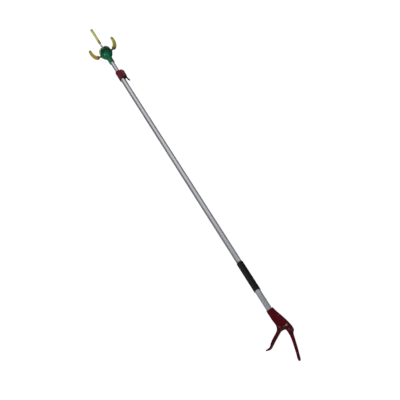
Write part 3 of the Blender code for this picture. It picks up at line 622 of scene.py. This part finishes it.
SHELL_TOP = [(72.0, 11.8), (46.0, 11.8), (32.0, 11.0), (17.4, 9.6), (6.0, 9.2), (-2.0, 6.8), (-7.6, 1.4),
             (-9.6, -5.0), (-12.2, -9.2), (-18.4, -10.2), (-24.0, -10.8), (-40.0, -10.3)]
SHELL_BACK = [(-40.0, -24.3), (-34.0, -26.2), (-30.0, -30.2), (-26.0, -32.4), (-20.0, -33.0), (-8.0, -31.4),
              (11.0, -28.0), (30.0, -23.2), (50.0, -17.8), (64.0, -14.6), (72.0, -13.4)]
GRIP_FRONT = [(-22.0, -11.0), (-36.0, -10.6), (-50.0, -9.2), (-64.0, -6.8), (-80.0, -3.2), (-96.0, 0.6),
              (-112.0, 4.8), (-124.0, 8.4), (-130.0, 8.8), (-133.0, 6.4), (-132.0, 2.8), (-128.0, 0.0),
              (-118.0, -3.0), (-107.0, -6.3), (-92.0, -10.6), (-76.0, -14.8), (-60.0, -18.9),
              (-46.0, -22.6), (-36.0, -24.6)]
FRONT_SCREW = (37.0, -15.4)
SCREWS = {"handle_screw_front": (*FRONT_SCREW, HANDLE_HALF_DEPTH),
          "handle_screw_middle": (-24.0, -21.5, HANDLE_HALF_DEPTH),
          "handle_screw_rear": (-110.0, -0.4, GRIP_HALF_DEPTH)}


def handle_half(side):
    """One half of the handle, above (+1) or below (-1) the split plane."""
    body = prism(outline(SHELL_TOP, SHELL_BACK), GAP / 2, HANDLE_HALF_DEPTH, 4.6, 0.35, 7)
    slope = smooth_line([(-18, 13.6), (-24, 13.0), (-29, 11.4), (-34, 8.8), (-39, 7.2), (-44, 6.4)], 4)
    ramp = stand_plane(prism(slope + [(-60, 6.4), (-60, 30), (-18, 30)], -60, 60))
    grip = prism(outline(GRIP_FRONT, [(-28.0, -24.0), (-22.0, -16.0)]), GAP / 2, GRIP_HALF_DEPTH,
                 4.2, 0.35, 7)
    half = join(cut(body, ramp), grip)
    chamber = prism([(41.5, 10.2), (17.6, 7.2), (17.6, 30), (-25, 30), (-16.4, -8), (-15.8, -13.5),
                     (-15.8, -28.4), (-8, -28.2), (10, -25.2), (29, -20.4), (41.5, -17)],
                    -5, HANDLE_HALF_DEPTH - SHELL_WALL - GAP)
    half = cut(half, chamber, bar(OUTER_TUBE_START - 8, 90, OUTER_TUBE_R + GAP, FINE))
    half = join(half, upright(bar(GAP / 2, 11.5, 3.6), *FRONT_SCREW))
    cheek = outline([(60, 7.6), (40, 7.6), (22, 6.0), (7, 4.6), (1, -1.0), (-1.6, -8.6)],
                    [(2.4, -14.4), (0.6, -23.6), (12, -22.6), (30, -19.0)],
                    [(33, -11.0), (44, -12.0), (60, -9.0)])
    panel = prism(cheek, HANDLE_HALF_DEPTH - 0.45, 20)
    half = cut(half, panel)
    boss = turned([(10, 5.8), (HANDLE_HALF_DEPTH + 0.35, 5.8), (HANDLE_HALF_DEPTH + 0.35, 7.2),
                   (HANDLE_HALF_DEPTH - 0.1, 7.8), (10, 7.8)], 48)
    half = join(half, upright(boss, PIVOT_X, PIVOT_Y))
    for x, y, depth in SCREWS.values():
        half = cut(half, upright(bar(-1, 30, PIN_HOLE_R), x, y), upright(bar(depth - 2.8, 30, 3.8), x, y))
    pocket_sides = 48 if side > 0 else 6
    half = cut(half, upright(bar(-1, 30, PIVOT_HOLE_R), PIVOT_X, PIVOT_Y),
               upright(bar(10.9 if side < 0 else 11.6, 30, 5.4, pocket_sides), PIVOT_X, PIVOT_Y))
    if side < 0:
        half.transform(Matrix.Scale(-1, 4, (0, 0, 1)))
        bmesh.ops.reverse_faces(half, faces=half.faces[:])
    return half


def pan_screw(head_top, head_r, head_height, shank_r, tip):
    """A screw about +X with its head's top at head_top and its tip at tip, with a cross recess."""
    under = head_top - head_height
    dome = [(head_top - 1.15 * (1 - math.cos(a)), head_r * math.sin(a) ** 0.8)
            for a in (0.0, 0.35, 0.7, 1.05, 1.35, math.pi / 2)]
    screw = turned([(tip, 0)] + dome + [(under, head_r), (under, shank_r), (tip, shank_r)])
    for width, length in ((0.5, head_r * 0.55), (head_r * 0.55, 0.5)):
        screw = cut(screw, block(head_top - 0.9, head_top + 1, -width, width, -length, length))
    return screw


def build_handle():
    add_piece("shell_upper", handle_half(1), "root", "maroon", ["handle_shell_upper"])
    add_piece("shell_lower", handle_half(-1), "root", "maroon", ["handle_shell_lower"])
    for name, (x, y, depth) in SCREWS.items():
        screw = pan_screw(depth - 0.4, 3.4, 2.1, 1.5, -(depth - 4.0))
        add_piece(name + "_domed", upright(screw, x, y), "root", "dark_steel", [name])
    head = [(13.6, 0), (13.5, 1.6), (13.2, 3.2), (12.8, 4.3), (12.4, 4.9), (11.9, 5.0), (11.9, 2.5)]
    bolt = turned([(-12.4, 0)] + head + [(-12.4, 2.5)])
    bolt = cut(bolt, block(12.9, 15, -0.6, 0.6, -6, 6))
    add_piece("pivot_bolt_slotted", upright(bolt, PIVOT_X, PIVOT_Y), "root", "bolt",
              ["trigger_pivot_bolt"])


# ---------------------------------------------------------------- trigger

TRIGGER_HALF_DEPTH = 6.5
EYE_R = 6.0
CRANK = 21.0
CRANK_LEAN = math.radians(19.9) / 2
PIN_X = PIVOT_X + CRANK * math.sin(CRANK_LEAN)
PIN_Y = PIVOT_Y + CRANK * math.cos(CRANK_LEAN)


def build_trigger():
    outer = [(6.4, 11.2), (-1.4, 14.4), (-8.6, 21.2), (-14.0, 29.6), (-19.8, 39.0), (-26.4, 48.6),
             (-32.6, 55.6), (-38.0, 60.4), (-41.2, 65.4), (-41.6, 72.0), (-41.0, 79.6)]
    inner = [(-42.8, 79.4), (-44.8, 72.4), (-46.0, 66.4), (-45.4, 61.2), (-42.9, 56.0), (-39.0, 50.4),
             (-34.6, 43.6), (-28.2, 33.8), (-22.6, 24.6), (-18.4, 17.6), (-13.4, 8.4), (-10.0, 0.7),
             (-10.4, -9.0)]
    eye = arc(PIVOT_X, PIVOT_Y, EYE_R, 165, 350, 24)
    shape = outline([(2.6, 6.7), (17.2, 6.7)], [(17.2, 9.4), (6.4, 11.2)], outer, inner)
    shape += eye + [(-1.5, -13.0), (2.6, -5.0)]
    body = join(prism(shape, -TRIGGER_HALF_DEPTH, TRIGGER_HALF_DEPTH, 2.6, 2.6, 6),
                upright(bar(-9.8, 9.8, EYE_R, 48), PIVOT_X, PIVOT_Y))
    fork = arc(PIN_X, PIN_Y, 8.4, 90, 250, 20) + [(3.0, -11.0), (22.0, -14.0), (22.0, 6.4)]
    for low, high in ((4.0, THROUGH), (-THROUGH, -4.0)):
        body = cut(body, prism(fork, low, high))
    for turn in (0, math.pi):
        slope = face_plane(prism([(56, 6.7), (84, 2.2), (84, 10), (56, 10)], -60, 60))
        slope.transform(Matrix.Rotation(turn, 4, "Y"))
        body = cut(body, slope)
    groove = outline([(-7.4, 16.6), (-12.6, 24.6), (-19.4, 35.4), (-26.6, 45.8), (-33.0, 53.0)],
                     [(-35.2, 50.4), (-30.2, 43.0), (-23.6, 32.8), (-18.0, 23.6), (-12.6, 14.4)])
    for low, high in ((5.7, THROUGH), (-THROUGH, -5.7)):
        body = cut(body, prism(groove, low, high))
    body = cut(body, upright(bar(-THROUGH, THROUGH, PIVOT_HOLE_R, 48), PIVOT_X, PIVOT_Y),
               upright(bar(-THROUGH, THROUGH, PIN_HOLE_R), PIN_X, PIN_Y))
    add_piece("trigger_lever", body, "trigger", "maroon", ["trigger"])


# ---------------------------------------------------------------- poles and foam

HUB_SCREW_X = 1449.0
HUB_SCREW_HOLE_R = 1.6
FOAM_START, FOAM_END, FOAM_R = 158.5, 288.0, 11.8
FOAM_EDGE = 1.4             # rounding of the sleeve's ends

def build_poles():
    outer = tube(OUTER_TUBE_START, 1352.0, 8.8, OUTER_TUBE_R)
    add_piece("outer_pole", outer, "root", "aluminium", ["outer_tube"])
    inner = tube(185.0, 1478.0, 7.0, 8.2)
    inner = cut(inner, along(bar(3, 30, HUB_SCREW_HOLE_R), (0, 0, -1), (HUB_SCREW_X, 0, 0)))
    add_piece("inner_pole_tube", inner, "inner_pole", "aluminium", ["inner_tube"])
    straight = FOAM_END - FOAM_START - 2 * FOAM_EDGE
    profile = [(FOAM_START, 10.3), (FOAM_END, 10.3)]
    profile += arc(FOAM_END - FOAM_EDGE, FOAM_R - FOAM_EDGE, FOAM_EDGE, 0, 90, 6)
    for step in range(1, 40):
        x = FOAM_END - FOAM_EDGE - straight * step / 40
        profile.append((x, FOAM_R + 0.12 * math.sin(x * 0.21) * math.sin(x * 0.057 + 1.0)))
    profile += arc(FOAM_START + FOAM_EDGE, FOAM_R - FOAM_EDGE, FOAM_EDGE, 90, 180, 6)
    sleeve = add_piece("foam_sleeve", turned(profile), "root", "foam", ["foam_grip"])


# ---------------------------------------------------------------- pole clamp

CLAMP_START, CLAMP_END, CLAMP_R = 1330.0, 1377.0, 12.8
CLAMP_X, CLAMP_Y = 1364.0, -18.0


def build_clamp():
    lip = arc(CLAMP_END - 2.5, CLAMP_R - 2.5, 2.5, 0, 90, 6)
    barrel = turned([(CLAMP_START, 0), (CLAMP_END, 0)] + lip
                    + [(1341.0, CLAMP_R), (1340.4, CLAMP_R - 0.5), (1338.4, CLAMP_R - 0.5),
                       (1337.8, CLAMP_R), (CLAMP_START + 0.6, CLAMP_R), (CLAMP_START, CLAMP_R - 0.6)])
    boss = outline([(CLAMP_START, -6.0), (CLAMP_START, -16.8)],
                   [(CLAMP_START, -16.8), (1333.5, -19.6), (1340.0, -21.8), (1348.0, -22.8), (1359.0, -22.8),
                    (1367.5, -21.2), (1373.5, -17.6), (CLAMP_END - 1.0, -12.0)],
                   [(CLAMP_END - 1.0, -12.0), (CLAMP_END - 1.0, -6.0)])
    body = join(barrel, prism(boss, -9.4, 9.4, 3.4, 3.4, 6))
    body = cut(body,
               bar(CLAMP_START - 5, 1353.0, 10.3, FINE),
               bar(1347.0, CLAMP_END + 5, 8.7, FINE),
               block(CLAMP_START - 5, CLAMP_X + 10, -40, -12.1, -4.3, 4.3),
               block(CLAMP_X - 7.4, CLAMP_X + 8.4, -14, -4, -4.3, 4.3),
               upright(bar(-THROUGH, THROUGH, PIN_HOLE_R), CLAMP_X, CLAMP_Y))
    add_piece("clamp_housing", body, "root", "red", ["clamp_body"])
    end = CLAMP_START - GAP
    collar = turned([(end - 5.2, 10.3), (end, 10.3), (end, 12.4), (end - 0.3, 12.6), (end - 3.2, 12.6),
                     (end - 4.4, 12.2), (end - 5.2, 11.3)])
    for step in range(24):
        rib = about_x(block(end - 4.2, end + 1, -0.3, 0.3, 12.25, 14), math.tau * step / 24)
        collar = cut(collar, rib)
    add_piece("clamp_ring", collar, "root", "black", ["clamp_collar"])

    cam = arc(CLAMP_X, CLAMP_Y, 5.6, 60, -120, 20)
    arm = [(1352.0, -22.2), (1336.0, -21.0), (1325.0, -20.6), (1313.0, -22.0), (1305.0, -24.0),
           (1302.8, -22.0), (1306.4, -18.6), (1314.0, -16.4), (1325.0, -15.6), (1342.0, -15.6),
           (1357.0, -14.4)]
    lever = prism((cam + smooth_line(arm, 4))[::-1], -4.0, 4.0, 1.3, 1.3, 5)
    for step in range(4):
        x = 1307.5 + 2.6 * step
        lever = cut(lever, block(x, x + 0.9, -30.0, -23.0 + 0.55 * step, -10, 10))
    lever = cut(lever, upright(bar(-THROUGH, THROUGH, PIN_HOLE_R), CLAMP_X, CLAMP_Y))
    add_piece("clamp_thumb_lever", lever, "clamp_lever", "black", ["clamp_lever"])
    pin = [(-9.2, 0), (9.2, 0), (9.1, 0.9), (8.8, 1.5), (-8.8, 1.5), (-9.1, 0.9)]
    add_piece("clamp_pin", upright(turned(pin), CLAMP_X, CLAMP_Y), "root", "steel",
              ["clamp_lever_pin"])


# ---------------------------------------------------------------- hub and palm pad

FINGER_X, FINGER_R = 1520.0, 20.0
HUB_FRONT, HUB_R, NECK_R = 1521.0, 23.6, 11.0
AZIMUTHS = {"top": 0.0, "left": math.radians(-120.0), "right": math.radians(120.0)}


def hub_rib():
    """A rib that grows out of the neck and ends as the finger's clevis, before its slot is cut."""
    x, r = FINGER_X, FINGER_R
    nose = [(x + 5.4, r - 5.4), (x + 5.4, r + 2.0), (x + 5.2, r + 4.4), (x + 3.8, r + 7), (x + 0.6, r + 8.4),
            (x - 5, r + 8.2), (x - 13, r + 6.4), (x - 23, r + 2), (x - 32, r - 4), (1480, 13.2), (1470, 10.6)]
    shape = outline([(1470, 9), (x + 0.6, 9)], [(x + 0.6, r - 5.4), (x + 5.4, r - 5.4)], nose)
    rib = stand_plane(prism(shape, -8.4, 8.4, 2.0, 2.0, 5))
    envelope = turned([(1466, 0), (1540, 0), (1540, 32), (1512, 32), (1506, 29.8), (1500, 26.6),
                       (1494, 23.4), (1488, 19.8), (1483, 16.4), (1478, 13.4), (1466, 10)])
    return combine(rib, envelope, "INTERSECT")


def hub_body():
    flare = []
    for i in range(17):
        swell = 0.5 - 0.5 * math.cos(math.pi * i / 16)
        flare.append((1476.0 + 24.0 * i / 16, NECK_R + (HUB_R - NECK_R) * swell))
    rim = arc(HUB_FRONT - 1.5, HUB_R - 1.5, 1.5, 0, 90, 5)
    neck = [(1454.0, NECK_R), (1453.4, NECK_R - 0.4), (1452.0, NECK_R - 0.4), (1451.4, NECK_R),
            (1442.2, NECK_R), (1441.3, NECK_R - 0.5), (1441.0, NECK_R - 1.2), (1441.0, 0)]
    shell = turned([(HUB_FRONT, 0)] + rim + flare[::-1] + neck)
    for azimuth in AZIMUTHS.values():
        shell = join(shell, about_x(hub_rib(), azimuth))
    shell = cut(shell, bar(1436, 1479, 8.5, FINE), bar(1473, 1489, 2.5), bar(1487, 1531, 12.5, FINE))
    for azimuth in AZIMUTHS.values():
        slot = about_x(block(FINGER_X - 6.5, HUB_FRONT + 10, -5.0, 5.0, 8, 40), azimuth)
        pin_hole = along(bar(-THROUGH, THROUGH, PIN_HOLE_R), (0, 1, 0), (FINGER_X, 0, FINGER_R))
        pin_hole = about_x(pin_hole, azimuth)
        scallop = [(1503, 17), (1535, 17), (1535, 40), (1503, 40)]
        hollow = about_x(stand_plane(prism(scallop, -6, 6)), azimuth + math.pi / 3)
        shell = cut(shell, pin_hole, slot, hollow)
        groove = about_x(stand_plane(prism([(1484, 26), (1486, 17.5), (1490, 19.6), (1497, 24.4), (1502, 26)],
                                           -2.2, 2.2, 0.8, 0.8, 3)), azimuth + math.pi / 3)
        shell = cut(shell, groove)
    return cut(shell, along(bar(0, 30, HUB_SCREW_HOLE_R), (0, 0, -1), (HUB_SCREW_X, 0, 0)))


def build_claw_base():
    add_piece("hub_casting", hub_body(), "inner_pole", "green", ["hub"], 38)
    screw = pan_screw(13.0, 2.6, 1.7, 1.25, 7.2)
    add_piece("hub_screw_domed", along(screw, (0, 0, -1), (HUB_SCREW_X, 0, 0)), "inner_pole", "steel",
              ["hub_screw"])
    face, front = HUB_FRONT + 0.4, 1540.8
    dome = [(front, 0), (front - 0.3, 4), (front - 1.3, 8), (front - 2.7, 12), (front - 4.6, 16),
            (front - 6.6, 19.2), (front - 9, 22), (front - 10.8, 23.6), (face + 6.8, 24.5),
            (face + 5.6, 24.6), (face + 1.2, 24.6), (face + 0.4, 24.3), (face, 23.6)]
    pad = turned([(1536.6, 0)] + dome + [(face, 12.4), (1533.6, 12.4), (1536.6, 9)])
    for radius, depth in ((9.0, 1.7), (13.5, 3.6), (18.0, 6.2)):
        near = front - depth
        pad = cut(pad, turned([(near, radius - 0.7), (near + 9, radius - 0.7), (near + 9, radius + 0.7),
                               (near, radius + 0.7)]))
    for azimuth in AZIMUTHS.values():
        notch = about_x(block(face - 5, front + 5, -8.8, 8.8, 14, 40), azimuth)
        lever_slot = about_x(block(face - 5, face + 7, -3.4, 3.4, 8, 20), azimuth)
        pad = cut(pad, notch, lever_slot)
    add_piece("palm_cushion", pad, "inner_pole", "pad", ["palm_pad"], 38)


# ---------------------------------------------------------------- fingers

FINGER_LINE = [(1.0, 2.5), (4.8, 9.5), (10.2, 18.0), (18.0, 26.0), (28.5, 32.6), (41.0, 37.8), (57.0, 41.8),
               (73.0, 43.2), (85.5, 42.6)]
LEVER_LEAN = math.radians(15.0)
LEVER = 14.0


def to_finger(bm, azimuth):
    bm.transform(Matrix.Rotation(azimuth, 4, "X") @ Matrix.Translation((FINGER_X, 0, FINGER_R)))
    return bm


def finger_arm():
    thick, wide, ease = 1.1, 3.7, 0.35
    flat = [(thick - ease, -wide), (thick, -wide + ease), (thick, wide - ease), (thick - ease, wide),
            (-thick + ease, wide), (-thick, wide - ease), (-thick, -wide + ease), (-thick + ease, -wide)]
    strip = swept(smooth_line(FINGER_LINE, 6), lambda i: flat)
    eye = stand_plane(prism(arc(0, 0, 3.6, 0, 352.5, 47), -4.7, 4.7, 0.5, 0.5, 3))
    end_x, end_z = LEVER * math.sin(LEVER_LEAN), -LEVER * math.cos(LEVER_LEAN)
    side = Vector((math.cos(LEVER_LEAN), math.sin(LEVER_LEAN))) * 1.6
    lever = stand_plane(prism([(-side.x, -side.y), (end_x - side.x, end_z - side.y),
                               (end_x + side.x, end_z + side.y), (side.x, side.y)], -2.5, 2.5, 0.3, 0.3, 2))
    knob = stand_plane(prism(arc(end_x, end_z, 2.4, 0, 345, 23), -2.5, 2.5, 0.4, 0.4, 2))
    return cut(join(strip, eye, lever, knob), along(bar(-THROUGH, THROUGH, PIN_HOLE_R), (0, 1, 0)))


def finger_sleeve():
    """A soft oval tube, deepest at its base, with a rounded end and a rolled lip, bored for the strip."""
    line = smooth_line(FINGER_LINE, 6)
    first = 14
    path = list(line[first:])
    last = Vector(path[-1])
    heading = (last - Vector(path[-2])).normalized()
    sizes = []
    for i in range(len(path)):
        t = i / (len(path) - 1)
        swell = 1 + 0.012 * math.sin(t * 31) * math.sin(t * 9 + 0.5)
        sizes.append(((8.7 - 2.95 * t ** 1.5) * swell, 5.42 * swell))
    start_ease = ((0.86, 0.90), (0.96, 0.97))
    for i, (deep, wide) in enumerate(start_ease):
        sizes[i] = (sizes[i][0] * deep, sizes[i][1] * wide)
    for step in range(1, 9):
        angle = math.radians(10.5 * step)
        path.append(tuple(last + heading * 5.8 * math.sin(angle)))
        sizes.append((5.75 * math.cos(angle), 5.42 * math.cos(angle)))
    sides = 36

    def oval(i):
        deep, wide = sizes[i]
        return [(deep * math.cos(math.tau * k / sides), wide * math.sin(math.tau * k / sides))
                for k in range(sides)]

    half_thick, half_width = 1.4, 4.0
    bore = [(half_thick, -half_width), (half_thick, half_width), (-half_thick, half_width),
            (-half_thick, -half_width)]
    start, before = Vector(line[first]), Vector(line[first - 1])
    tail = tuple(Vector(line[-1]) + heading * GAP)
    bore_path = [tuple(start - (start - before) * 4)] + line[first:-1] + [tail]
    return cut(swept(path, oval), swept(bore_path, lambda i: bore))


def finger_pin():
    head = [(8.6, 0), (8.5, 0.8), (8.1, 1.4), (7.9, 1.5)]
    return along(turned([(-8.6, 0)] + head + [(-x, r) for x, r in head[:0:-1]]), (0, 1, 0))


def build_fingers():
    for name, azimuth in AZIMUTHS.items():
        body = "finger_" + name
        add_piece("strip_" + name, to_finger(finger_arm(), azimuth), body, "strip",
                  ["finger_arm_" + name])
        add_piece("sleeve_" + name, to_finger(finger_sleeve(), azimuth), body, "olive",
                  ["finger_sleeve_" + name], 40)
        add_piece("rivet_" + name, to_finger(finger_pin(), azimuth), "inner_pole", "steel",
                  ["finger_pin_" + name])


# ---------------------------------------------------------------- pieces kept from the frame

KEPT = {"trigger_pivot_nut": "steel", "clevis_pin": "steel", "rod_clevis": "dark_steel",
        "tube_end_plug": "nylon", "return_spring": "steel", "lower_pull_tube": "aluminium",
        "rod_collar": "steel", "rod_lock_collet": "nylon", "clamp_shoe": "black",
        "inner_tube_guide": "nylon", "rod_guide": "nylon", "claw_spring": "steel",
        "upper_pull_rod": "steel", "plunger": "nylon", "plunger_nut": "steel"}


def dress_kept_nodes():
    for name, finish in KEPT.items():
        slots = NODES[name].data.materials
        for i in range(len(slots)):
            slots[i] = FINISHES[finish].material


place_camera()
studio()
FINISHES = make_materials()
build_handle()
build_trigger()
build_poles()
build_clamp()
build_claw_base()
build_fingers()
dress_kept_nodes()
